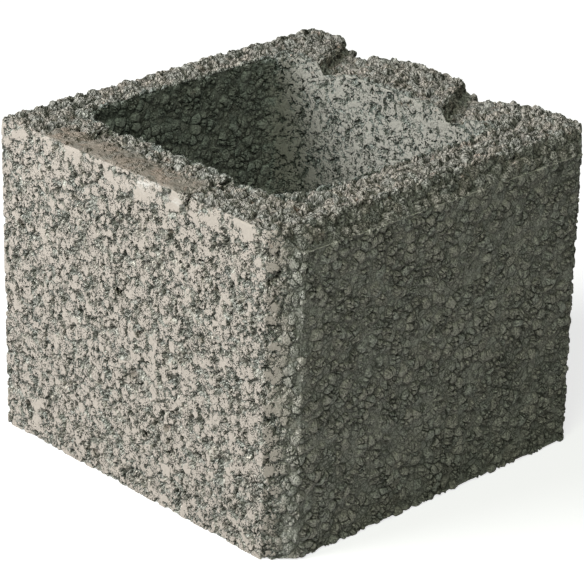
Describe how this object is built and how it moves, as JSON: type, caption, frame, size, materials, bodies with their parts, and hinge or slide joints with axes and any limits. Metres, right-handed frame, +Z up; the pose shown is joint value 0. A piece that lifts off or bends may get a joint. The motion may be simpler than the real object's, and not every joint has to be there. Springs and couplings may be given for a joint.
{
  "type": "concrete block",
  "caption": "Hollow open-textured concrete block, nearly cubic, with a rounded rectangular cell right through and cut corners on its fair face.",
  "frame": {"origin": "middle of the foot, on the floor that the block stands on", "axes": "+X along the block's length, +Y from the fair face with the cut corners to the back, +Z up as it is laid"},
  "size_m": [0.24, 0.23, 0.19],
  "materials": {
    "concrete": "matte, open textured, cement grey"
  },
  "bodies": {
    "root": {"block": "concrete"}
  },
  "joints": []
}
